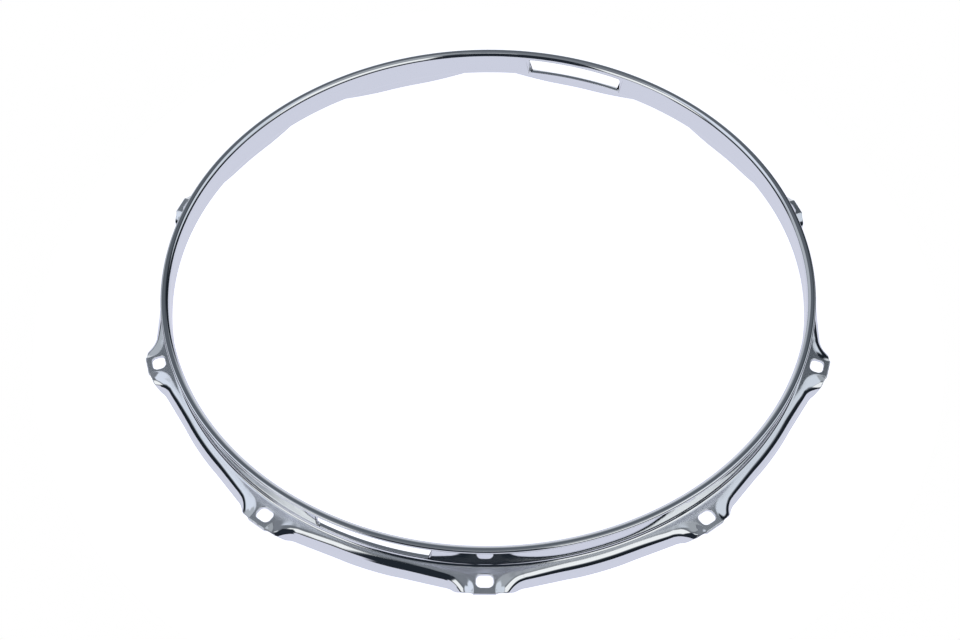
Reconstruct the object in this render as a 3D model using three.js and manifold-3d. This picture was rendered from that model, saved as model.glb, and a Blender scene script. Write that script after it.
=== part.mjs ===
// Snare-side drum hoop, fourteen inch, ten ears, pressed from one welded strip of steel and chrome plated.
// Millimetres, Z up with the playing lip uppermost. The origin is the centre of the ring, on the plane of
// the skirt's lowest edges. X runs through two opposite ears, and Y through the two snare gates.
// The pressing is held as the zones that its tools form, and neighbours meet face to face.

import * as THREE from "three";
import { mergeVertices } from "three/addons/utils/BufferGeometryUtils.js";
import Module from "manifold-3d";

const wasm = await Module();
wasm.setup();

// Driving dimensions of the strip and of the ring
const sheet = 2.3;
const boreRadius = 179.3;
const hoopHeight = 27.6;
const earCount = 10;

// Lip, curled outwards at the top
const lipReach = 5;
const lipBend = 1;
const lipEdgeRound = 0.8;

// Foot, the bend from the wall to the level flange, measured on its hollow side, and the wall's lean
// inwards from there up to the lip
const footBend = 2;
const wallLean = THREE.MathUtils.degToRad(4.1);

// Shoulder and skirt. The flange rounds over from the foot between the ears and hangs down from there,
// leaning outwards a little. The skirt's edge rests along its middle and rises towards the ears.
const shoulderReach = 4.1;
const shoulderDrop = 5.5;
const skirtDepth = 11.1;
const skirtLean = THREE.MathUtils.degToRad(3);
const skirtEdgeRise = 4.8;
const skirtRestShare = 1 / 6;

// Ears, each a level tongue whose sides fold down into the skirt
const earReach = 8.8;
const earTipHalfWidth = 6;
const earFold = 3.6;
const neckFold = 8.6;
const neckRadius = 11;
const flareRadius = 145;
const earSideTurn = THREE.MathUtils.degToRad(64);
const edgeClimbTurn = THREE.MathUtils.degToRad(38);

// Rod holes, rounded oblongs that lie along the ring
const rodHoleLength = 8.7;
const rodHoleWidth = 7.2;
const rodHoleCorner = 2.7;
const rodHoleSetback = 6.3;

// Snare gates, two windows in the wall
const gateLength = 61;
const gateCorner = 1.5;
const gateSill = 2.2;
const gateStrap = 0.55;

// Overrun of a cutter past what it cuts
const overrun = 10;

// Facets
const ringStepsPerEar = 12;
const bendSteps = 3;
const edgeSteps = 1;
const neckSteps = 5;
const foldSteps = 3;
const cornerSteps = 2;

// Sizes that follow
const quarterTurn = Math.PI / 2;
const earPitch = (2 * Math.PI) / earCount;
const ringStep = earPitch / ringStepsPerEar;
const ringSteps = earCount * ringStepsPerEar;
const lipRadius = boreRadius + lipReach;
const lipBack = lipBend + sheet;
const lipCentre = new THREE.Vector2(boreRadius + lipBack, hoopHeight - lipBack);
const footBack = footBend + sheet;
const footTop = skirtDepth + footBend;
const footSpread = (footBend - lipBend) / Math.cos(wallLean) + (lipCentre.y - footTop) * Math.tan(wallLean);
const footRadius = lipCentre.x + footSpread;
const footCentre = new THREE.Vector2(footRadius, footTop);
const skirtRadius = footRadius + shoulderReach;
const tipRadius = skirtRadius + earReach;
const rodCircleRadius = tipRadius - rodHoleSetback;
const flangeTop = skirtDepth;
const flangeUnder = flangeTop - sheet;
const gateFloor = flangeTop + gateSill;
const gateTop = lipCentre.y - gateStrap;
const halfPitchLength = (earPitch / 2) * skirtRadius;

// Chrome-plated steel
const chrome = new THREE.MeshStandardMaterial({ color: 0xd4d6dc, metalness: 1, roughness: 0.08 });

function piece(name, geometry, turn) {
  const mesh = new THREE.Mesh(geometry, chrome.clone());
  mesh.name = name;
  mesh.rotation.z = turn;
  return mesh;
}

function arcPoints(centre, radius, from, to, steps) {
  return new THREE.ArcCurve(centre.x, centre.y, radius, from, to, to < from).getPoints(steps);
}

// A ring turned from a closed section, whose points are radius and height and run anticlockwise
function ring(section) {
  const geometry = new THREE.LatheGeometry([...section, section[0]], ringSteps);
  geometry.rotateX(quarterTurn);
  return geometry;
}

// The wall's faces are straight lines that touch the bends' arcs. The bore's face touches the lip's outer arc
// and the outer face its hollow side.
const wallTurn = Math.PI + wallLean;

function wallPoint(radius, z) {
  const lean = (lipCentre.y - z) * Math.tan(wallLean);
  return new THREE.Vector2(lipCentre.x - radius / Math.cos(wallLean) + lean, z);
}

// The lip's section: up the bore, over the bend, out to the rounded rim and back under it
function lipSection() {
  const rimTop = new THREE.Vector2(lipRadius - lipEdgeRound, hoopHeight - lipEdgeRound);
  const rimUnder = new THREE.Vector2(rimTop.x, hoopHeight - sheet + lipEdgeRound);
  const points = [
    wallPoint(lipBack, gateTop),
    ...arcPoints(lipCentre, lipBack, wallTurn, quarterTurn, bendSteps),
    ...arcPoints(rimTop, lipEdgeRound, quarterTurn, 0, edgeSteps),
    ...arcPoints(rimUnder, lipEdgeRound, 0, -quarterTurn, edgeSteps),
    ...arcPoints(lipCentre, lipBend, quarterTurn, wallTurn, edgeSteps),
    wallPoint(lipBend, gateTop),
  ];
  return points.reverse();
}

// The wall's section, from the gates' sill to the lip
function wallSection() {
  return [
    wallPoint(lipBack, gateFloor),
    wallPoint(lipBend, gateFloor),
    wallPoint(lipBend, gateTop),
    wallPoint(lipBack, gateTop),
  ];
}

// The foot's section, from the gates' sill to where the flange lies level
function footSection() {
  const level = Math.PI + quarterTurn;
  return [
    wallPoint(lipBack, gateFloor),
    ...arcPoints(footCentre, footBack, wallTurn, level, bendSteps),
    ...arcPoints(footCentre, footBend, level, wallTurn, bendSteps),
    wallPoint(lipBend, gateFloor),
  ];
}

// A closed geometry as a solid for cutting, and a solid as a geometry again
function solidOf(geometry) {
  const bare = geometry.index ? geometry.toNonIndexed() : geometry.clone();
  bare.deleteAttribute("normal");
  bare.deleteAttribute("uv");
  const merged = mergeVertices(bare);
  const vertProperties = merged.attributes.position.array;
  const triVerts = new Uint32Array(merged.index.array);
  return new wasm.Manifold(new wasm.Mesh({ numProp: 3, vertProperties, triVerts }));
}

function geometryOf(solid) {
  const mesh = solid.getMesh();
  const geometry = new THREE.BufferGeometry();
  geometry.setAttribute("position", new THREE.BufferAttribute(mesh.vertProperties, 3));
  geometry.setIndex(new THREE.BufferAttribute(mesh.triVerts, 1));
  geometry.computeVertexNormals();
  return geometry;
}

// A rounded oblong about the origin, as a closed path
function roundedOblong(path, width, height, corner) {
  const x = width / 2 - corner;
  const y = height / 2 - corner;
  path.absarc(x, -y, corner, -quarterTurn, 0);
  path.absarc(x, y, corner, 0, quarterTurn);
  path.absarc(-x, y, corner, quarterTurn, Math.PI);
  path.absarc(-x, -y, corner, Math.PI, Math.PI + quarterTurn);
  path.closePath();
  return path;
}

// The punch that opens both gates at once, along Y
function gatePunch() {
  const outline = roundedOblong(new THREE.Shape(), gateLength, gateTop - gateFloor, gateCorner);
  const reach = footRadius + overrun;
  const depth = 2 * reach;
  const options = { depth, bevelEnabled: false, curveSegments: cornerSteps };
  const geometry = new THREE.ExtrudeGeometry(outline, options);
  geometry.rotateX(quarterTurn);
  geometry.translate(0, reach, (gateTop + gateFloor) / 2);
  return geometry;
}

// The two halves of the wall that the gates leave, the one towards -X first
function wallHalves() {
  const opened = solidOf(ring(wallSection())).subtract(solidOf(gatePunch()));
  const halves = opened.decompose();
  return halves.sort((a, b) => a.boundingBox().min[0] - b.boundingBox().min[0]).map(geometryOf);
}

// The skirt's outer face in plan, laid out flat: x along the ring from an ear's axis, y outwards from the
// skirt's radius. It leaves the ear round the neck and runs into the ring along the flare.
const outwardsAt = (turn) => new THREE.Vector2(Math.sin(turn), Math.cos(turn));
const tipCorner = new THREE.Vector2(earTipHalfWidth, earReach);
const tipFace = tipCorner.addScaledVector(outwardsAt(earSideTurn), earFold);
const neckLimit = tipFace.y / (1 - Math.cos(earSideTurn));
const neck = Math.min(neckRadius, neckLimit);
const neckCentre = tipFace.clone().addScaledVector(outwardsAt(earSideTurn), neck);
const flareTurn = Math.acos((flareRadius - neckCentre.y) / (flareRadius - neck));
const flareCentre = neckCentre.clone().addScaledVector(outwardsAt(flareTurn), flareRadius - neck);

// A station of the fold: where it starts in plan, the way it faces, its width and the length of its bend,
// and how far the sheet runs down the bend and the skirt, in full and as trimmed
function station(turn, face, fold) {
  const outwards = outwardsAt(turn);
  const start = face.clone().addScaledVector(outwards, -fold);
  const fromMiddle = 1 - face.x / halfPitchLength;
  const rise = Math.max(0, fromMiddle ** 2 - skirtRestShare ** 2) * skirtEdgeRise;
  const bend = (quarterTurn * (fold + shoulderDrop)) / 2;
  const full = bend + flangeTop - shoulderDrop - rise;
  const climbed = Math.min(1, (earSideTurn - turn) / edgeClimbTurn);
  return { start, outwards, fold, bend, full, run: full * Math.sin(climbed * quarterTurn) };
}

// Stations round the neck, from the ear's tip to the flare
function neckStations() {
  const stations = [];
  for (let i = 0; i <= neckSteps; i += 1) {
    const along = i / neckSteps;
    const turn = THREE.MathUtils.lerp(earSideTurn, flareTurn, along);
    const fold = THREE.MathUtils.lerp(earFold, neckFold, along);
    const face = neckCentre.clone().addScaledVector(outwardsAt(turn), -neck);
    stations.push(station(turn, face, fold));
  }
  return stations;
}

// A station of the flare, or of the plain skirt past it, whose fold starts on the foot's outer edge
function skirtStation(angle) {
  const foot = new THREE.Vector2(angle * skirtRadius, -shoulderReach);
  const turn = Math.atan(Math.max(0, flareCentre.x - foot.x) / (flareCentre.y - foot.y));
  const face = turn > 0
    ? flareCentre.clone().addScaledVector(outwardsAt(turn), -flareRadius)
    : new THREE.Vector2(foot.x, 0);
  return station(turn, face, face.distanceTo(foot));
}

const neckLine = neckStations();
const earSteps = Math.ceil(neckLine.at(-1).start.x / (ringStep * skirtRadius));

// A flat plan point wrapped round the ring, with the ear's axis on X
function wrapped(point, z) {
  const radius = skirtRadius + point.y;
  const angle = point.x / skirtRadius;
  return new THREE.Vector3(radius * Math.cos(angle), radius * Math.sin(angle), z);
}

// The upper and lower faces of the sheet at a run down a station's fold
function sheetAt(where, run) {
  const turned = Math.min(run / where.bend, 1) * quarterTurn;
  const below = Math.max(0, run - where.bend);
  const outwards = where.fold * Math.sin(turned) + below * Math.tan(skirtLean);
  const top = where.start.clone().addScaledVector(where.outwards, outwards);
  const topZ = flangeTop - shoulderDrop * (1 - Math.cos(turned)) - below;
  const under = top.clone().addScaledVector(where.outwards, -sheet * Math.sin(turned));
  return { top: wrapped(top, topZ), under: wrapped(under, topZ - sheet * Math.cos(turned)) };
}

// A level ear with its rod hole, its axis on X
function earGeometry() {
  const side = neckLine.map((where) => wrapped(where.start, 0));
  const foot = [];
  for (let i = -earSteps; i <= earSteps; i += 1) {
    foot.push(wrapped(new THREE.Vector2(i * ringStep * skirtRadius, -shoulderReach), 0));
  }
  const mirrored = side.map((point) => new THREE.Vector3(point.x, -point.y, 0));
  const outline = [...foot, ...side.reverse(), ...mirrored];
  const shape = new THREE.Shape(outline.map((point) => new THREE.Vector2(point.x, point.y)));
  const oblong = roundedOblong(new THREE.Path(), rodHoleWidth, rodHoleLength, rodHoleCorner);
  const hole = oblong.getPoints(cornerSteps);
  for (const point of hole) point.x += rodCircleRadius;
  shape.holes.push(new THREE.Path(hole));
  const geometry = new THREE.ExtrudeGeometry(shape, { depth: sheet, bevelEnabled: false });
  geometry.translate(0, 0, flangeUnder);
  return geometry;
}

// A closed solid from a sheet given as vertices with an upper and a lower place, and as faces that run
// anticlockwise seen from above. Each edge that only one face uses gets a wall.
function sheetSolid(vertices, faces) {
  const place = (vertex, level) => vertex[level].toArray();
  const edges = new Map();
  const positions = [];
  const addTriangle = (a, b, c) => positions.push(...a, ...b, ...c);
  for (const face of faces) {
    const corners = face.filter((corner, i) => corner !== face[(i + 1) % face.length]);
    const top = corners.map((corner) => place(vertices[corner], "top"));
    const under = corners.map((corner) => place(vertices[corner], "under"));
    for (let i = 1; i < corners.length - 1; i += 1) {
      addTriangle(top[0], top[i], top[i + 1]);
      addTriangle(under[0], under[i + 1], under[i]);
    }
    corners.forEach((corner, i) => edges.set(corner + ">" + corners[(i + 1) % corners.length], true));
  }
  for (const edge of edges.keys()) {
    const [from, to] = edge.split(">").map(Number);
    if (edges.has(to + ">" + from)) continue;
    const [a, b] = [vertices[from], vertices[to]];
    addTriangle(place(a, "top"), place(a, "under"), place(b, "under"));
    addTriangle(place(a, "top"), place(b, "under"), place(b, "top"));
  }
  const geometry = new THREE.BufferGeometry();
  geometry.setAttribute("position", new THREE.Float32BufferAttribute(positions, 3));
  geometry.computeVertexNormals();
  return geometry;
}

// The vertices down one station, evenly spaced over the fold and then to the skirt's edge
function columnOf(where) {
  const column = [];
  for (let i = 0; i <= foldSteps; i += 1) column.push((i / foldSteps) * where.bend);
  column.push(where.full);
  return column.map((run) => sheetAt(where, (run / where.full) * where.run));
}

// One skirt, from the tip of the ear on X round to the tip of the next ear
function skirtGeometry() {
  const half = neckLine.map(columnOf);
  for (let i = earSteps; i <= ringStepsPerEar / 2; i += 1) half.push(columnOf(skirtStation(i * ringStep)));
  const mirrored = half.slice(0, -1).reverse();
  const columns = half.concat(mirrored.map((column) => column.map(acrossMiddle)));
  const vertices = [];
  const rows = columns.map((column, i) => {
    const atTip = i === 0 || i === columns.length - 1;
    return column.map((vertex, j) => (atTip && j > 0 ? vertices.length - 1 : vertices.push(vertex) - 1));
  });
  const faces = [];
  for (let i = 0; i < rows.length - 1; i += 1) {
    const [near, far] = [rows[i], rows[i + 1]];
    for (let j = 0; j < near.length - 1; j += 1) faces.push([near[j], near[j + 1], far[j + 1], far[j]]);
  }
  return sheetSolid(vertices, faces);
}

// A vertex mirrored in the upright plane half way between two ears
function acrossMiddle({ top, under }) {
  return { top: mirroredPlace(top), under: mirroredPlace(under) };
}

function mirroredPlace(place) {
  const radius = Math.hypot(place.x, place.y);
  const angle = earPitch - Math.atan2(place.y, place.x);
  return new THREE.Vector3(radius * Math.cos(angle), radius * Math.sin(angle), place.z);
}

const hoop = new THREE.Group();
hoop.name = "drum_hoop";
hoop.add(piece("stick_lip", ring(lipSection()), 0));
const [wallLeft, wallRight] = wallHalves();
hoop.add(piece("collar_left", wallLeft, 0), piece("collar_right", wallRight, 0));
hoop.add(piece("foot_bend", ring(footSection()), 0));

const ear = earGeometry();
const skirt = skirtGeometry();
for (let i = 0; i < earCount; i += 1) {
  const number = String(i + 1).padStart(2, "0");
  hoop.add(piece("ear_" + number, ear.clone(), i * earPitch));
  hoop.add(piece("skirt_" + number, skirt.clone(), i * earPitch));
}

export default hoop;
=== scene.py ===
# %% [markdown]
# # A snare-side drum hoop in chrome
# A drum hoop is the steel ring that pulls the head down over the shell. This one is for the snare side of
# a 14 inch drum: its wall has two gates for the snare strings, and ten ears take the tension rods.
# It is pressed from a single strip, so it is modelled here as one skin, made in the order of its making:
# the strip is rolled and flanged, the ears and skirts are pressed, and the holes are pierced last.

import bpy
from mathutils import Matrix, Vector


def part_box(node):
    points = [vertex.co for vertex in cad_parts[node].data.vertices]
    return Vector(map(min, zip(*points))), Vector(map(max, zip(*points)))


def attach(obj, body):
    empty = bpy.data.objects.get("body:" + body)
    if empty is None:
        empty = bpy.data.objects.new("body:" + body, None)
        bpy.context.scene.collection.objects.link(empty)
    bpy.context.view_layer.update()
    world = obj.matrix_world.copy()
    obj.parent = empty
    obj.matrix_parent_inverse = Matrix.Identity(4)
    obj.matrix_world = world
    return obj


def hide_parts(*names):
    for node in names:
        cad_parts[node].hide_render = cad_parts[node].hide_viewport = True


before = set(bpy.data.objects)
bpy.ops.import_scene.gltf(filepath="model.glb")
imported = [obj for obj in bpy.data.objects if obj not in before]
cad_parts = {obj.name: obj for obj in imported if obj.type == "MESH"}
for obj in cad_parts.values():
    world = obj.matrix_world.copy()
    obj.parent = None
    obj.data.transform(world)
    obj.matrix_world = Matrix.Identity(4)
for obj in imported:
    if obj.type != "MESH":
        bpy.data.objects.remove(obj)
print(len(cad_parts), "nodes in the frame")

# %% Tools, and the frame's own box
import math

import bpy
from mathutils import Matrix, Vector

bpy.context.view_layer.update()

# %% [markdown]
# Each operator acts on whatever is selected, and the frame arrives selected. So everything is let go before
# the first piece is made, and later on each helper picks what it works on.

# %% Let the frame go
def let_go():
    """Nothing is selected or active afterwards."""
    for thing in bpy.context.selected_objects:
        thing.select_set(False)
    bpy.context.view_layer.objects.active = None


let_go()
print(len(bpy.context.selected_objects), "objects selected")

# %% [markdown]
# The sizes are those of the real hoop. The levels come from the frame, and the bends and folds are named
# here. The flange's level is the one at the foot's outer circle, since flange and ears slope down from there.
# Blender works in metres, so one value stands for a millimetre. The wall isn't quite upright: it is the
# straight run that touches the bends of the lip and the foot, and so leans in a little.

# %% Sizes of the strip, the ring and its bends
MM = 0.001
ear_low, ear_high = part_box("ear_01")
lip_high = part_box("stick_lip")[1]
foot_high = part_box("foot_bend")[1]

sheet = ear_high.z - ear_low.z
flange_top = ear_high.z
hoop_height = lip_high.z
lip_radius = lip_high.x
foot_radius = foot_high.x

lip_reach = 5 * MM
lip_bend = 1 * MM
lip_edge_round = 1.1 * MM
foot_bend = 2 * MM

bore_radius = lip_radius - lip_reach
wall_radius = bore_radius + sheet
lip_back = lip_bend + sheet
lip_centre = Vector((wall_radius + lip_bend, hoop_height - lip_back))
foot_centre = Vector((foot_radius, flange_top + foot_bend))
between = lip_centre - foot_centre
wall_lean = math.atan2(between.y, between.x) - math.acos((lip_bend - foot_bend) / between.length)
print("sheet %.2f mm, bore %.1f mm" % (sheet / MM, 2 * bore_radius / MM))
print("the wall leans in by %.1f degrees" % math.degrees(wall_lean))

# %% Steps: how finely each curve is divided
EARS = 10
quarter = math.pi / 2
half_pitch = math.pi / EARS
ring_steps = 24
small_bend_steps = 6
large_bend_steps = 10
print(2 * EARS * ring_steps, "steps round the ring")

# %% [markdown]
# ## Camera
# The photograph was taken from above and to the front with a normal lens. Its place was worked out from the
# ellipses of the bore and the lip and from the ten ears. The camera aims at a point in the ears' plane, a
# little in front of the ring's centre.

# %% Camera
camera_place = Vector((157.84, -468.04, 601.44)) * MM
camera_aim = Vector((4.57, -27.45, 9.95)) * MM
camera_roll = math.radians(-0.683)
camera_lens = 49.95
sensor_width = 36
nearest_seen = 10 * MM
farthest_seen = 20

camera_data = bpy.data.cameras.new("camera")
camera_data.sensor_width = sensor_width
camera_data.lens = camera_lens
camera_data.clip_start = nearest_seen
camera_data.clip_end = farthest_seen
camera = bpy.data.objects.new("camera", camera_data)
bpy.context.scene.collection.objects.link(camera)
aiming = (camera_aim - camera_place).to_track_quat("-Z", "Y").to_matrix().to_4x4()
camera.matrix_world = Matrix.Translation(camera_place) @ aiming @ Matrix.Rotation(camera_roll, 4, "Z")
bpy.context.scene.camera = camera
print("camera", [round(value, 3) for value in camera.location])

# %% [markdown]
# ## The rolled ring
# Between the lip's rim and the foot, every cut through the hoop is the same, because rollers formed it. The
# section is drawn as a line, straight runs by extruding its end and bends by spinning its end about the
# bend's centre. Spinning the whole line about the ring's axis gives the ring. Only a twentieth is made, from
# an ear's axis to the middle of a skirt, since the rest is this piece mirrored and repeated. Blender spins
# clockwise about the axis it is given, so the axes below point the other way.

# %% Helpers that draw the section
def run(x, z):
    """Extrudes the line's end straight, by x outwards and z up."""
    bpy.ops.mesh.extrude_region_move(TRANSFORM_OT_translate={"value": (x, 0, z)})


def bend(x, z, turn, steps):
    """Spins the line's end about a centre, anticlockwise seen with x to the right and z up."""
    bpy.ops.mesh.spin(steps=steps, angle=turn, center=(x, 0, z), axis=(0, 1, 0))


wall_facing = Vector((math.cos(wall_lean), math.sin(wall_lean)))
wall_run = (lip_centre - lip_bend * wall_facing) - (foot_centre - foot_bend * wall_facing)
rim_x = lip_radius - lip_edge_round
lip_run = rim_x - lip_centre.x
print("the wall runs straight for %.1f mm, the lip for %.1f mm" % (wall_run.length / MM, lip_run / MM))

# %% Section of the ring, drawn from the flange's top face round to its under face and then spun
bpy.ops.mesh.primitive_plane_add(size=sheet, location=(foot_radius, 0, flange_top))
ring = bpy.context.object
ring.name = "ring"
bpy.ops.object.transform_apply(location=True)
bpy.ops.object.mode_set(mode="EDIT")
bpy.ops.mesh.merge(type="CENTER")
bend(*foot_centre, wall_lean - quarter, small_bend_steps)
run(*wall_run)
bend(*lip_centre, -quarter - wall_lean, small_bend_steps)
run(lip_run, 0)
bend(rim_x, hoop_height - sheet + lip_edge_round, quarter, small_bend_steps)
run(0, sheet - 2 * lip_edge_round)
bend(rim_x, hoop_height - lip_edge_round, quarter, small_bend_steps)
run(-lip_run, 0)
bend(*lip_centre, quarter + wall_lean, large_bend_steps)
run(*-wall_run)
bend(*foot_centre, quarter - wall_lean, large_bend_steps)
bpy.ops.mesh.select_all(action="SELECT")
bpy.ops.mesh.spin(steps=ring_steps, angle=half_pitch, center=(0, 0, 0), axis=(0, 0, -1))
bpy.ops.object.mode_set(mode="OBJECT")
print("ring twentieth", len(ring.data.vertices), "vertices")

# %% [markdown]
# ## The plan of an ear and its skirt
# The folded edge runs round each ear like the side of a river mouth: out of the ear's tip, round a neck, and
# along a long flare into the plain skirt. In plan, laid flat, x runs along the ring from the ear's axis and
# y outwards. A station on this line says where the fold starts, which way it faces, how wide it is and how
# far the sheet runs over it. At the ear's tip nothing is folded, so the sheet just ends in its rounded edge.
# The flange and the ears slope down outwards by a few degrees. The fold is deep and steep along the skirt,
# and shallower and more slanted where the flare turns into the neck.

# %% Sizes of the ears
ear_slope = math.tan(math.radians(4))
ear_reach = 8.4 * MM
ear_tip_half_width = 5 * MM
ear_fold = 4.4 * MM
ear_fold_swell = 3 * MM
ear_swell_share = 0.8
ear_side_length = 6.6 * MM
ear_side_turn = math.radians(50)
neck_radius = 12 * MM
neck_drop = 3.4 * MM
neck_start = math.radians(28)
neck_lean = math.radians(14)
print("ears reach %.1f mm beyond the skirts" % (ear_reach / MM))

# %% Sizes of the skirts
shoulder_reach = 4.4 * MM
shoulder_drop = 6 * MM
shoulder_start = math.radians(16)
skirt_lean = math.radians(3)
skirt_edge_rise = 4.8 * MM
skirt_rest_share = 1 / 6
fold_width = 5 * MM
flare_radius = 170 * MM
edge_climb = 10 * MM
edge_round = 0.6 * MM

skirt_radius = foot_radius + shoulder_reach
ring_step = half_pitch / ring_steps
half_pitch_length = half_pitch * skirt_radius
print("skirts %.1f mm across, %.1f mm over opposite ears"
      % (2 * skirt_radius / MM, 2 * (skirt_radius + ear_reach) / MM))

# %% The plan's two arcs: the neck and the flare
def outwards_at(turn):
    """The plan direction that leans from straight outwards towards the next ear by a turn."""
    return Vector((math.sin(turn), math.cos(turn)))


tip_face = Vector((ear_tip_half_width, ear_reach - edge_round)) + ear_fold * outwards_at(ear_side_turn)
side_way = Vector((math.cos(ear_side_turn), -math.sin(ear_side_turn)))
neck_centre = tip_face + ear_side_length * side_way + neck_radius * outwards_at(ear_side_turn)
flare_turn = math.acos((flare_radius - neck_centre.y) / (flare_radius - neck_radius))
flare_centre = neck_centre + (flare_radius - neck_radius) * outwards_at(flare_turn)
ear_length = ear_side_length + neck_radius * (ear_side_turn - flare_turn)
print("the flare leaves the neck at %.1f degrees" % math.degrees(flare_turn))

# %% A station
def station(turn, face, fold, tilt, climbed):
    """Where a fold starts and faces, its flat stretch, width, depth, lean and tilt, and the sheet's run."""
    outwards = outwards_at(turn)
    from_middle = 1 - face.x / half_pitch_length
    rise = max(0, from_middle ** 2 - skirt_rest_share ** 2) * skirt_edge_rise
    sunk = ear_slope * (shoulder_reach + face.y)
    bent = min(fold, fold_width)
    leaving = min(1, turn / flare_turn)
    drop = shoulder_drop + leaving * (neck_drop - shoulder_drop)
    lean = skirt_lean + leaving * (neck_lean - skirt_lean)
    bend_length = quarter * (bent + drop) / 2
    below = (flange_top - drop - edge_round - rise - sunk) / (1 + ear_slope * math.tan(lean))
    reach = (fold - bent + bend_length + below) * math.sin(climbed * quarter)
    return {"start": face - fold * outwards, "outwards": outwards, "level": fold - bent, "fold": bent,
            "drop": drop, "lean": lean, "tilt": tilt, "bend": bend_length, "reach": reach}


middle = station(0, Vector((half_pitch_length, 0)), shoulder_reach, shoulder_start, 1)
print("middle of a skirt: fold %.1f mm wide, sheet running on for %.1f mm"
      % (middle["fold"] / MM, middle["reach"] / MM))

# %% Stations beside the ear
def ear_station(share):
    """A station from the ear's tip at 0, along its side and round the neck, to the flare at 1."""
    along = share * ear_length
    turn = ear_side_turn - max(0, along - ear_side_length) / neck_radius
    face = neck_centre - neck_radius * outwards_at(turn) - max(0, ear_side_length - along) * side_way
    end_face_y = neck_centre.y - neck_radius * math.cos(flare_turn)
    end_fold = (end_face_y + shoulder_reach) / math.cos(flare_turn)
    swell = ear_fold_swell * math.sin(min(1, share / ear_swell_share) * math.pi)
    fold = ear_fold + share * (end_fold - ear_fold) + swell
    return station(turn, face, fold, neck_start * (1 - share), min(1, along / edge_climb))


neck_steps = 24
neck_line = [ear_station(i / neck_steps) for i in range(neck_steps)]
print("neck: fold %.1f to %.1f mm wide" % tuple(
    (neck_line[i]["level"] + neck_line[i]["fold"]) / MM for i in (0, -1)))

# %% Stations of the flare and the plain skirt
def skirt_station(angle):
    """A station of the flare or the plain skirt, whose fold starts on the foot's outer circle."""
    foot = Vector((angle * skirt_radius, -shoulder_reach))
    turn = math.atan(max(0, flare_centre.x - foot.x) / (flare_centre.y - foot.y))
    face = flare_centre - flare_radius * outwards_at(turn) if turn > 0 else Vector((foot.x, 0))
    tilt = shoulder_start * (1 - turn / flare_turn)
    return station(turn, face, (face - foot).length, tilt, 1)


neck_end = ear_station(1)["start"]
first_foot_step = math.ceil(neck_end.x / (ring_step * skirt_radius))
flare_line = [skirt_station(i * ring_step) for i in range(first_foot_step, ring_steps + 1)]
print("flare and skirt:", len(flare_line), "stations")

# %% Stations of the ear's tip
corner_start = neck_line[0]["start"]
corner_angle = corner_start.x / skirt_radius


def tip_station(share, turn):
    """A station where nothing is folded: along the tip's straight edge, or turning round its corner."""
    angle = share * corner_angle
    radius = (skirt_radius + corner_start.y) * math.cos(corner_angle) / math.cos(angle)
    start = Vector((angle * skirt_radius, radius - skirt_radius))
    return {"start": start, "outwards": outwards_at(turn), "level": 0, "fold": ear_fold,
            "drop": neck_drop, "lean": neck_lean, "tilt": 0, "bend": 1, "reach": 0}


tip_steps = 4
fan_steps = 5
tip_line = [tip_station(i / tip_steps, 0) for i in range(tip_steps + 1)]
fan_line = [tip_station(1, i / fan_steps * ear_side_turn) for i in range(1, fan_steps)]
stations = tip_line + fan_line + neck_line + flare_line
print(len(stations), "stations in all")

# %% [markdown]
# ## Pressing the skirt
# A flat grid is the blank, and each of its columns is pressed into the profile of its station: over the top
# face of the fold, down the skirt, round its edge and back up the under face. Between the ears the foot runs
# straight into the fold, without a level stretch, so the fold starts with a tilt there.

# %% One face of a profile, as points outwards and up
level_rows = 2
fold_rows = 12
skirt_rows = 2
under_fold_rows = 7


def profile_point(where, along, face):
    """A point of the sheet's top face (0) or under face (1), some way over the fold."""
    tilt = where["tilt"] * (1 - face)
    end = quarter - where["lean"]
    straight = min(along, where["level"])
    bent = min(along - straight, where["bend"])
    below = along - straight - bent
    turned = tilt + bent / where["bend"] * (end - tilt)
    across = (math.sin(turned) - math.sin(tilt)) / (math.sin(end) - math.sin(tilt))
    lowered = (math.cos(tilt) - math.cos(turned)) / (math.cos(tilt) - math.cos(end))
    thickness = face * sheet
    drop = where["drop"] - thickness - where["level"] * math.sin(tilt)
    out = straight + (where["fold"] - thickness) * across + below * math.tan(where["lean"])
    return Vector((out, flange_top - thickness - straight * math.sin(tilt) - drop * lowered - below))


def side_of_profile(where, face, bend_rows):
    """The points of one face, from where the fold starts to where the edge's rounding starts."""
    straight = min(where["level"], where["reach"])
    bent = min(where["level"] + where["bend"], where["reach"])
    ways = [i / level_rows * straight for i in range(level_rows)]
    ways += [straight + i / bend_rows * (bent - straight) for i in range(bend_rows)]
    ways += [bent + i / skirt_rows * (where["reach"] - bent) for i in range(skirt_rows + 1)]
    return [profile_point(where, along, face) for along in ways]


skirt_foot = profile_point(stations[-1], stations[-1]["reach"], 0)
print("at its middle the skirt's face ends %.1f mm out and %.1f mm up" % tuple(skirt_foot / MM))

# %% A whole profile
cap_steps = 4


def profile(where):
    """The top face, the rounded edge and the under face."""
    top = side_of_profile(where, 0, fold_rows)
    under = side_of_profile(where, 1, under_fold_rows)
    across_sheet = (top[-1] - under[-1]).normalized()
    onwards = Vector((across_sheet.y, -across_sheet.x))
    cap = []
    for i in range(1, cap_steps + 1):
        turned = i / cap_steps * quarter
        ahead = edge_round * math.sin(turned) * onwards
        aside = edge_round * (1 - math.cos(turned)) * across_sheet
        cap.append((top[-1] + ahead - aside, under[-1] + ahead + aside))
    return top + [pair[0] for pair in cap] + [pair[1] for pair in reversed(cap)] + under[::-1]


profiles = [profile(where) for where in stations]
print(len(profiles), "profiles of", len(profiles[0]), "points")

# %% The skirt's blank, pressed
def wrapped(point, z):
    """A point of the flat plan, wrapped round the ring with the ear's axis on X and sloped outwards."""
    radius = skirt_radius + point.y
    angle = point.x / skirt_radius
    sunk = ear_slope * (radius - foot_radius)
    return Vector((radius * math.cos(angle), radius * math.sin(angle), z - sunk))


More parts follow.
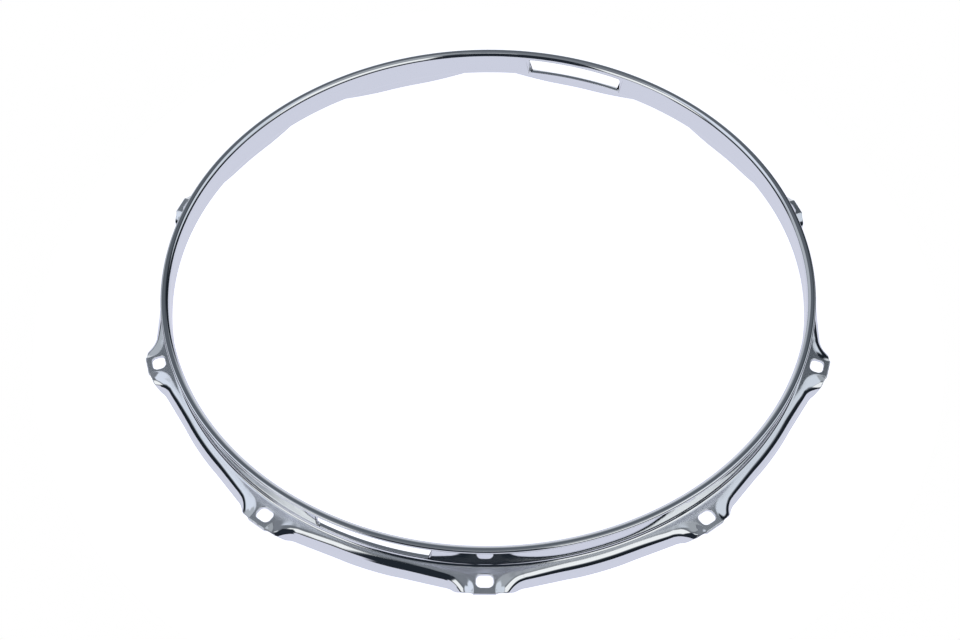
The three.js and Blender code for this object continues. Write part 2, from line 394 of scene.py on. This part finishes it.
last_column = len(stations) - 1
last_row = len(profiles[0]) - 1
bpy.ops.mesh.primitive_grid_add(x_subdivisions=last_column, y_subdivisions=last_row, size=2)
skirt = bpy.context.object
skirt.name = "skirt"
for vertex in skirt.data.vertices:
    column = round((vertex.co.x + 1) / 2 * last_column)
    row = round((vertex.co.y + 1) / 2 * last_row)
    out, up = profiles[column][row]
    where = stations[column]
    vertex.co = wrapped(where["start"] + out * where["outwards"], up)
print("skirt", len(skirt.data.vertices), "vertices")

# %% [markdown]
# ## The ear's plate
# The ear is one smooth plate that slopes down outwards with the flange. A disc of as many corners as the
# plate has is added, and each corner is put on the plate's outline. A copy of the face, one sheet lower, is
# the underside.

# %% The ear's plate, half of it
foot_steps = range(first_foot_step + 1)
foot_line = [Vector((i * ring_step * skirt_radius, -shoulder_reach)) for i in foot_steps]
outline = foot_line + [where["start"] for where in reversed(tip_line[:-1] + neck_line)]
bpy.ops.mesh.primitive_circle_add(vertices=len(outline), radius=foot_radius, fill_type="NGON")
plate = bpy.context.object
plate.name = "plate"
for vertex, point in zip(plate.data.vertices, outline):
    vertex.co = wrapped(point, flange_top)
bpy.ops.object.mode_set(mode="EDIT")
bpy.ops.mesh.select_all(action="SELECT")
bpy.ops.mesh.duplicate_move(TRANSFORM_OT_translate={"value": (0, 0, -sheet)})
bpy.ops.object.mode_set(mode="OBJECT")
print("plate", len(plate.data.vertices), "vertices")

# %% [markdown]
# ## One skin
# The three parts are joined and their shared edges merged, so that the sheet is one skin as in the real
# pressing. A mirror makes the tenth around one ear, and a spin that repeats it makes the ring.

# %% Join the three parts and merge their edges
merge_distance = 0.002 * MM


def pick(*things):
    """Selects these objects alone; the last becomes the active one."""
    let_go()
    for thing in things:
        thing.select_set(True)
    bpy.context.view_layer.objects.active = things[-1]


pick(skirt, plate, ring)
bpy.ops.object.join()
hoop = bpy.context.object
hoop.name = "hoop"
hoop.data.name = "hoop"
bpy.ops.object.mode_set(mode="EDIT")
bpy.ops.mesh.select_mode(type="VERT")
bpy.ops.mesh.select_all(action="SELECT")
bpy.ops.mesh.remove_doubles(threshold=merge_distance)
bpy.ops.object.mode_set(mode="OBJECT")
print("half an ear and half a skirt", len(hoop.data.polygons), "faces")

# %% Mirror
def apply_modifier(piece, kind, **settings):
    """Adds one modifier with its settings and applies it."""
    pick(piece)
    bpy.ops.object.modifier_add(type=kind)
    modifier = piece.modifiers[-1]
    for name, value in settings.items():
        setattr(modifier, name, value)
    bpy.ops.object.modifier_apply(modifier=modifier.name)


apply_modifier(hoop, "MIRROR", use_axis=(False, True, False), merge_threshold=merge_distance)
print("one ear and its two half skirts", len(hoop.data.polygons), "faces")

# %% Repeat round the ring, and look for open edges
def repeat_round(times):
    """Copies the whole mesh that is open in edit mode, so that it stands this many times round the axis."""
    bpy.ops.mesh.select_all(action="SELECT")
    bpy.ops.mesh.spin(steps=times - 1, dupli=True, angle=2 * math.pi * (times - 1) / times,
                      center=(0, 0, 0), axis=(0, 0, 1))


bpy.ops.object.mode_set(mode="EDIT")
repeat_round(EARS)
bpy.ops.mesh.select_all(action="SELECT")
bpy.ops.mesh.remove_doubles(threshold=merge_distance)
bpy.ops.mesh.normals_make_consistent(inside=False)
bpy.ops.mesh.select_all(action="DESELECT")
bpy.ops.mesh.select_non_manifold()
bpy.ops.object.mode_set(mode="OBJECT")
open_edges = sum(edge.select for edge in hoop.data.edges)
print("hoop", len(hoop.data.polygons), "faces,", open_edges, "open edges")

# %% [markdown]
# ## Piercing
# The rod holes and the snare gates are punched after forming, so here too they are cut last, with punches
# of the holes' own shape: boxes whose long edges are rounded. The Boolean modifier is the press.

# %% Sizes of the holes
rod_hole_length = 8.6 * MM
rod_hole_width = 7 * MM
rod_hole_corner = 2.7 * MM
rod_hole_setback = 6.7 * MM
gate_length = 61 * MM
gate_corner = 1.5 * MM
gate_sill = 2.2 * MM
gate_strap = 0.55 * MM
punch_overrun = 10 * MM
corner_steps = 6

tip_radius = skirt_radius + ear_reach
rod_circle_radius = tip_radius - rod_hole_setback
gate_floor = flange_top + gate_sill
gate_ceiling = lip_centre.y - gate_strap
print("rod holes on a circle of %.1f mm, gates %.1f mm high"
      % (2 * rod_circle_radius / MM, (gate_ceiling - gate_floor) / MM))

# %% A punch
def punch(name, size, centre, along, corner):
    """A box of a size about a centre, whose edges along one axis are rounded."""
    bpy.ops.mesh.primitive_cube_add(size=1, location=centre, scale=size)
    tool = bpy.context.object
    tool.name = name
    bpy.ops.object.transform_apply(location=True, scale=True)
    bpy.ops.object.mode_set(mode="EDIT")
    bpy.ops.mesh.select_mode(type="EDGE")
    bpy.ops.object.mode_set(mode="OBJECT")
    for edge in tool.data.edges:
        a, b = [tool.data.vertices[index].co for index in edge.vertices]
        edge.select = abs((a - b)[along]) > size[along] / 2
    bpy.ops.object.mode_set(mode="EDIT")
    bpy.ops.mesh.bevel(offset=corner, segments=corner_steps, affect="EDGES", clamp_overlap=False)
    bpy.ops.object.mode_set(mode="OBJECT")
    return tool


gate_size = Vector((gate_length, 2 * (foot_radius + punch_overrun), gate_ceiling - gate_floor))
gate_punch = punch("gate_punch", gate_size, (0, 0, (gate_floor + gate_ceiling) / 2), 1, gate_corner)
rod_size = Vector((rod_hole_width, rod_hole_length, 2 * punch_overrun))
rod_punch = punch("rod_punch", rod_size, (rod_circle_radius, 0, flange_top), 2, rod_hole_corner)
bpy.ops.object.mode_set(mode="EDIT")
repeat_round(EARS)
bpy.ops.object.mode_set(mode="OBJECT")
print("punches", len(gate_punch.data.polygons), len(rod_punch.data.polygons))

# %% Cut the gates and the rod holes
for tool in (gate_punch, rod_punch):
    apply_modifier(hoop, "BOOLEAN", operation="DIFFERENCE", solver="EXACT", object=tool)
    bpy.data.objects.remove(tool)
print("pierced", len(hoop.data.polygons), "faces")

# %% [markdown]
# ## Rounding the pierced edges
# Tumbling and polishing before plating take every sheared edge off. The sheet's outer edges got their
# rounding in the press. A bevel that looks only at sharp angles rounds the holes and gates, and weighted
# normals keep the ears' plates and the wall flat to the eye.

# %% Bevel
pierced_round = 0.45 * MM
pierced_steps = 3
sharp_angle = math.radians(55)
pick(hoop)
bpy.ops.object.shade_smooth()
apply_modifier(hoop, "BEVEL", width=pierced_round, segments=pierced_steps, limit_method="ANGLE",
               angle_limit=sharp_angle, use_clamp_overlap=False)
print("bevelled", len(hoop.data.polygons), "faces")

# %% Large faces of the plates and the wall lead the shading
flat_area = 2 * MM * MM
wall_likeness = math.cos(math.radians(2))
plate_likeness = math.cos(math.radians(5))
bpy.ops.object.mode_set(mode="EDIT")
bpy.ops.mesh.select_mode(type="FACE")
bpy.ops.mesh.select_all(action="DESELECT")
bpy.ops.object.mode_set(mode="OBJECT")
for face in hoop.data.polygons:
    outwards = Vector((face.center.x, face.center.y)).normalized()
    across = wall_facing.x * face.normal.to_2d().dot(outwards) + wall_facing.y * face.normal.z
    on_wall = abs(across) > wall_likeness and foot_centre.y < face.center.z < lip_centre.y
    on_plate = abs(face.normal.z) > plate_likeness
    face.select = face.area > flat_area and (on_plate or on_wall)
strong_faces = sum(face.select for face in hoop.data.polygons)
bpy.ops.object.mode_set(mode="EDIT")
bpy.ops.mesh.mod_weighted_strength(set=True, face_strength="STRONG")
bpy.ops.object.mode_set(mode="OBJECT")
apply_modifier(hoop, "WEIGHTED_NORMAL", keep_sharp=True, use_face_influence=True)
print("hoop", len(hoop.data.polygons), "faces,", strong_faces, "of them lead their neighbours")

# %% The hoop stands for all of the frame's nodes
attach(hoop, "root")
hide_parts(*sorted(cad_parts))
print("replaces", len(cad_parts), "nodes")

# %% [markdown]
# ## Chrome
# The hoop is steel, ground along the ring, polished, and plated with nickel and a thin coat of chrome. Bright
# chrome is a mirror, a little bluer than silver, so almost all that the eye sees is the studio in it. What
# tells that it is real are the traces of its making: hair lines along the ring where it was spun and ground,
# a slight waviness from the press, and a faint haze where hands and boxes rubbed it.

# %% Helpers for colours and nodes
def linear(hex_colour):
    """A colour written as sRGB hex, turned to the linear values that Blender's nodes take."""
    values = [int(hex_colour[i:i + 2], 16) / 255 for i in (1, 3, 5)]
    return tuple(v / 12.92 if v <= 0.04045 else ((v + 0.055) / 1.055) ** 2.4 for v in values) + (1,)


def add_node(tree, kind, inputs=(), **settings):
    """Adds one node with its settings. Each input is a name or number and a value or a socket."""
    node = tree.nodes.new(kind)
    for name, value in settings.items():
        setattr(node, name, value)
    for name, value in inputs:
        if isinstance(value, bpy.types.NodeSocket):
            tree.links.new(value, node.inputs[name])
        else:
            node.inputs[name].default_value = value
    return node


print("a middle grey in linear values:", [round(value, 3) for value in linear("#808080")])

# %% Bright chrome plate, and where on the hoop a point lies
# Electroplated chrome over nickel: a clear, cool mirror that is only as dark as what it shows.
chrome = bpy.data.materials.new("bright_chrome_plate")
chrome.use_nodes = True
nodes = chrome.node_tree
shader = nodes.nodes["Principled BSDF"]
shader.inputs["Base Color"].default_value = linear("#EEF0F2")
shader.inputs["Metallic"].default_value = 1

place = add_node(nodes, "ShaderNodeTexCoord").outputs["Object"]
parts = add_node(nodes, "ShaderNodeSeparateXYZ", [(0, place)])
flat_place = add_node(nodes, "ShaderNodeVectorMath", [(0, place), (1, (1, 1, 0))], operation="MULTIPLY")
radius = add_node(nodes, "ShaderNodeVectorMath", [(0, flat_place.outputs[0])],
                  operation="LENGTH").outputs["Value"]
angle = add_node(nodes, "ShaderNodeMath", [(0, parts.outputs["Y"]), (1, parts.outputs["X"])],
                 operation="ARCTAN2").outputs[0]
print("material", chrome.name)

# %% [markdown]
# The hair lines are noise that is fine across the ring and long along it: a place is written as its radius,
# its height and its angle, and the angle counts for very little. They are fainter beyond the foot, where the
# press formed the sheet. Waves and haze are plain noise, as large as a fingertip and as a smear of it.

# %% Hair lines, waves and haze
# The real hair lines are too fine to be told apart in the photograph. They are drawn coarser than real.
hair_spacing = 0.45 * MM
hair_turns = 6
hair_fade = 2 * MM
hair_rest = 0.25
wave_size = 16 * MM
haze_size = 7 * MM

round_hairs = add_node(nodes, "ShaderNodeMath", [(0, angle), (1, hair_turns * hair_spacing)],
                       operation="MULTIPLY")
hair_place = add_node(nodes, "ShaderNodeCombineXYZ", [
    ("X", radius), ("Y", parts.outputs["Z"]), ("Z", round_hairs.outputs[0])])
hairs = add_node(nodes, "ShaderNodeTexNoise", [
    ("Vector", hair_place.outputs[0]), ("Scale", 1 / hair_spacing), ("Detail", 2)])
rolled = add_node(nodes, "ShaderNodeMapRange", [
    ("Value", radius), ("From Min", foot_radius), ("From Max", foot_radius + hair_fade),
    ("To Min", 1), ("To Max", hair_rest)])
hair_relief = add_node(nodes, "ShaderNodeMath", [(0, hairs.outputs[0]), (1, rolled.outputs[0])],
                       operation="MULTIPLY")
waves = add_node(nodes, "ShaderNodeTexNoise", [("Vector", place), ("Scale", 1 / wave_size), ("Detail", 1)])
haze = add_node(nodes, "ShaderNodeTexNoise", [("Vector", place), ("Scale", 1 / haze_size), ("Detail", 4)])
print("hair lines %.2f mm apart, waves %.0f mm long" % (hair_spacing / MM, wave_size / MM))

# %% Relief
wave_depth = 0.04 * MM
hair_depth = 0.002 * MM
press_bump = add_node(nodes, "ShaderNodeBump", [
    ("Height", waves.outputs[0]), ("Distance", wave_depth), ("Strength", 1)])
hair_bump = add_node(nodes, "ShaderNodeBump", [
    ("Height", hair_relief.outputs[0]), ("Distance", hair_depth), ("Strength", 1),
    ("Normal", press_bump.outputs[0])])
nodes.links.new(hair_bump.outputs[0], shader.inputs["Normal"])
print("relief: waves %.3f mm deep, hair lines %.3f mm" % (wave_depth / MM, hair_depth / MM))

# %% [markdown]
# The haze makes the mirror a little softer here and there. The flange just outside the wall is duller all
# round, because the polishing wheel doesn't reach into that corner. The corner is found by its height over
# the sloping flange and by its radius.

# %% Roughness, with the dull corner under the wall
haze_starts, haze_full = 0.3, 0.75
clear, hazy = 0.03, 0.08
dull_corner = 0.16
corner_ends, corner_full = 0.6 * MM, 0.2 * MM
roughness = add_node(nodes, "ShaderNodeMapRange", [
    ("Value", haze.outputs[0]), ("From Min", haze_starts), ("From Max", haze_full),
    ("To Min", clear), ("To Max", hazy)])
sloping = add_node(nodes, "ShaderNodeMath", [(0, radius), (1, ear_slope), (2, parts.outputs["Z"])],
                   operation="MULTIPLY_ADD")
above_flange = add_node(nodes, "ShaderNodeMath", [
    (0, sloping.outputs[0]), (1, flange_top + ear_slope * foot_radius)], operation="SUBTRACT")
near_flange = add_node(nodes, "ShaderNodeMath", [(0, above_flange.outputs[0])], operation="ABSOLUTE")
on_flange = add_node(nodes, "ShaderNodeMapRange", [
    ("Value", near_flange.outputs[0]), ("From Min", corner_ends), ("From Max", corner_full)])
outside = add_node(nodes, "ShaderNodeMapRange", [
    ("Value", radius), ("From Min", foot_radius - foot_bend), ("From Max", foot_radius)])
corner = add_node(nodes, "ShaderNodeMath", [(0, on_flange.outputs[0]), (1, outside.outputs[0])],
                  operation="MULTIPLY")
dull = add_node(nodes, "ShaderNodeMath", [
    (0, corner.outputs[0]), (1, dull_corner), (2, roughness.outputs[0])], operation="MULTIPLY_ADD")
nodes.links.new(dull.outputs[0], shader.inputs["Roughness"])
hoop.data.materials.clear()
hoop.data.materials.append(chrome)
print("chrome", len(nodes.nodes), "nodes")

# %% [markdown]
# ## Studio
# A mirror has no colour of its own, so the studio is built with care. It surrounds the hoop as the world: a
# dark room, soft boxes to the left and the right, the dark place in front, a grey ceiling and a pale floor.
# Each panel is a window in compass angle and height above the horizon, both in degrees. The compass starts
# at the front of the studio, with its right hand positive.

# %% The world's directions
bpy.context.scene.view_settings.view_transform = "Standard"
world = bpy.data.worlds.new("studio")
bpy.context.scene.world = world
world.use_nodes = True
studio = world.node_tree
background = studio.nodes["Background"]
front_of_studio = -71.4

towards = add_node(studio, "ShaderNodeTexCoord").outputs["Generated"]
axes = add_node(studio, "ShaderNodeSeparateXYZ", [(0, towards)])
turn = add_node(studio, "ShaderNodeMath", [(0, axes.outputs["Y"]), (1, axes.outputs["X"])],
                operation="ARCTAN2")
compass = add_node(studio, "ShaderNodeMath", [(0, turn.outputs[0])], operation="DEGREES").outputs[0]
rise = add_node(studio, "ShaderNodeMath", [(0, axes.outputs["Z"])], operation="ARCSINE")
height = add_node(studio, "ShaderNodeMath", [(0, rise.outputs[0])], operation="DEGREES").outputs[0]
print("the studio's front is at %.1f degrees from X" % front_of_studio)

# %% A panel of the studio
def window(value, low, high, soft):
    """One inside a range, nought outside it, and a soft edge of some width between."""
    away = add_node(studio, "ShaderNodeMath", [(0, value), (1, (low + high) / 2)], operation="SUBTRACT")
    nearest = add_node(studio, "ShaderNodeMath", [(0, away.outputs[0]), (1, 180), (2, -180)],
                       operation="WRAP")
    size = add_node(studio, "ShaderNodeMath", [(0, nearest.outputs[0])], operation="ABSOLUTE")
    edge = (high - low) / 2
    return add_node(studio, "ShaderNodeMapRange", [
        ("Value", size.outputs[0]), ("From Min", edge + soft / 2), ("From Max", edge - soft / 2)],
        interpolation_type="SMOOTHSTEP").outputs[0]


def panel(under, colour, compass_range, height_range, soft):
    """Lays a panel over what is there already and gives the new colour."""
    left, right = [value + front_of_studio for value in compass_range]
    sideways = window(compass, left, right, soft)
    upwards = window(height, *height_range, soft)
    inside = add_node(studio, "ShaderNodeMath", [(0, sideways), (1, upwards)], operation="MULTIPLY")
    return add_node(studio, "ShaderNodeMix", [
        ("Factor", inside.outputs[0]), ("A", under), ("B", linear(colour))],
        data_type="RGBA").outputs["Result"]


print("no panel yet,", len(studio.nodes), "nodes")

# %% [markdown]
# Each panel lies over the ones before it. The dark room goes from the floor to eye level all round but
# behind the hoop, where a pale wall shows low down. Bright boxes stand to the left and to the right, with
# paler cards beyond them, and the front is dark from the floor almost to the ceiling. Only the chrome and
# the shadows see all this: the camera's own rays meet plain white, as in the photograph.

# %% Ceiling and back wall
overhead = 150
underfoot = -150
white_box = "#FCFEFF"
dark_room = "#1C2229"
lavender = "#D9DBEA"

surround = add_node(studio, "ShaderNodeRGB")
surround.outputs[0].default_value = linear("#70757C")
view = surround.outputs[0]
view = panel(view, "#7D828A", (-130, 0), (66, overhead), 8)  # ceiling over the left
view = panel(view, "#A5AAB0", (30, 160), (67, overhead), 10)  # paler ceiling over the right
view = panel(view, "#5E646C", (125, 235), (36, 62), 12)  # back wall, high up
view = panel(view, "#484E55", (134, 164), (36, 56), 6)  # its dark right end
view = panel(view, "#A4AAB4", (140, 220), (8, 32), 12)  # back wall, lower down
view = panel(view, "#E1E4E8", (150, 210), (-30, 13), 12)  # pale backdrop behind the table
print("back", len(studio.nodes), "nodes")

# %% Dark room, soft boxes, cards and floor
view = panel(view, dark_room, (-128, 150), (underfoot, 21), 5)  # from the floor to eye level
view = panel(view, dark_room, (95, 152), (underfoot, 44), 8)  # higher on the right
view = panel(view, "#222830", (-38, 19), (underfoot, 62), 4)  # dark front
view = panel(view, "#EBF0F5", (-16, 11), (64.5, 68.5), 2)  # thin light above it
view = panel(view, white_box, (-77, -40), (20, 52), 4)  # left soft box
view = panel(view, "#E1E8F5", (-137, -84), (27, 68), 8)  # left card
view = panel(view, white_box, (20, 81), (27, 60), 4)  # right soft box
view = panel(view, "#D7DEE8", (82, 137), (29, 68), 8)  # right card
view = panel(view, "#B2B8C0", (-152, -118), (6, 42), 8)  # grey wall at the left
view = panel(view, lavender, (-62, -32), (underfoot, 11), 5)  # paper turned up beside the table
view = panel(view, lavender, (-200, 200), (underfoot, -9), 4)  # floor all round
seen = add_node(studio, "ShaderNodeLightPath").outputs["Is Camera Ray"]
shown = add_node(studio, "ShaderNodeMix", [("Factor", seen), ("A", view), ("B", (1, 1, 1, 1))],
                 data_type="RGBA")
studio.links.new(shown.outputs["Result"], background.inputs["Color"])
print("studio", len(studio.nodes), "nodes")

# %% [markdown]
# ## Floor
# The hoop stands on a round table covered with pale paper. The eye sees it as white, with the hoop's faint
# shadow, and the chrome sees its cool shade, which gives the skirts their lavender tone.

# %% Table
table_radius = 260 * MM
table_drop = 0.05 * MM
table_sides = 128
let_go()
bpy.ops.mesh.primitive_circle_add(vertices=table_sides, radius=table_radius, fill_type="NGON",
                                  location=(0, 0, -table_drop))
table = bpy.context.object
table.name = "table"
print("table", round(2 * table_radius / MM), "mm across")

# %% Pale paper: matt, and a little cool
paper_glow = 0.85
table_top = bpy.data.materials.new("pale_table")
table_top.use_nodes = True
paper = table_top.node_tree
paper.nodes.clear()
ray = add_node(paper, "ShaderNodeLightPath")
cool = add_node(paper, "ShaderNodeEmission", [("Color", linear(lavender)), ("Strength", 1)])
white = add_node(paper, "ShaderNodeEmission", [("Color", (1, 1, 1, 1)), ("Strength", paper_glow)])
shaded = add_node(paper, "ShaderNodeBsdfDiffuse", [("Color", linear(lavender))])
plain = add_node(paper, "ShaderNodeAddShader", [(0, white.outputs[0]), (1, shaded.outputs[0])])
either = add_node(paper, "ShaderNodeMixShader", [
    (0, ray.outputs["Is Camera Ray"]), (1, cool.outputs[0]), (2, plain.outputs[0])])
add_node(paper, "ShaderNodeOutputMaterial", [("Surface", either.outputs[0])])
table.data.materials.append(table_top)
print("paper", len(paper.nodes), "nodes")
